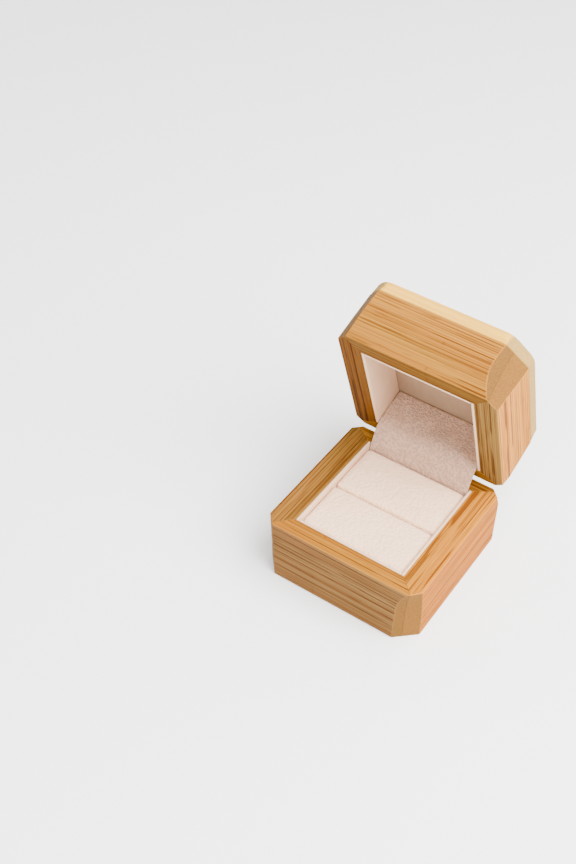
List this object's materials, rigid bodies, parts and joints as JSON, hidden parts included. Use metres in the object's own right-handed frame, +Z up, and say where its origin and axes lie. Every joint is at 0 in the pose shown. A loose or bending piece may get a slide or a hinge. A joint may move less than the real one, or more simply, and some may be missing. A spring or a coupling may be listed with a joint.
{
  "type": "ring box",
  "caption": "Square hinged wooden ring box with cut corners, open lid, lined walls, slit ring cushion and a flap over its inside hinge.",
  "frame": {"origin": "centre of the box's underside", "axes": "+Z up out of the box, +Y back towards the hinge, +X to the right when the open lid faces the viewer; stored with the lid open"},
  "size_m": [0.058, 0.0824, 0.0867],
  "materials": {
    "bamboo_rail": "satin lacquered bamboo with grain along each rail",
    "bamboo_panel": "satin lacquered paler bamboo board",
    "lining": "smooth cream suedette over card",
    "cushion_suede": "off-white suedette over foam",
    "flap_leatherette": "matt pebbled beige leatherette",
    "grey_board": "plain grey board",
    "foam": "open soft foam",
    "hinge_steel": "plain rolled steel",
    "spring_steel": "dark spring steel",
    "screw_brass": "plain brass"
  },
  "bodies": {
    "base": {"base_rail_front": "bamboo_rail", "base_rail_rear": "bamboo_rail", "base_rail_left": "bamboo_rail", "base_rail_right": "bamboo_rail", "base_bottom_panel": "bamboo_panel", "base_lining_left": "lining", "base_lining_right": "lining", "base_lining_front": "lining", "cushion_board": "grey_board", "ring_cushion_front": "cushion_suede", "ring_cushion_rear": "cushion_suede", "flap_lower": "flap_leatherette", "hinge_base_leaf": "hinge_steel", "hinge_pin": "hinge_steel", "hinge_snap_spring": "spring_steel", "hinge_spring_rivet": "spring_steel", "base_hinge_screw_left": "screw_brass", "base_hinge_screw_right": "screw_brass"},
    "lid": {"lid_rail_front": "bamboo_rail", "lid_rail_rear": "bamboo_rail", "lid_rail_left": "bamboo_rail", "lid_rail_right": "bamboo_rail", "lid_top_panel": "bamboo_panel", "lid_lining_left": "lining", "lid_lining_right": "lining", "lid_lining_front": "lining", "lid_ceiling_card": "lining", "lid_ceiling_foam": "foam", "flap_upper": "flap_leatherette", "hinge_lid_leaf": "hinge_steel", "lid_hinge_screw_left": "screw_brass", "lid_hinge_screw_right": "screw_brass"}
  },
  "joints": [
    {"name": "lid_hinge", "type": "hinge", "parent": "base", "child": "lid", "pos_m": [0, 0.0284, 0.02315], "axis": [-1, 0, 0], "range_deg": [-68.8, 0], "deforming": ["flap_lower"]}
  ]
}
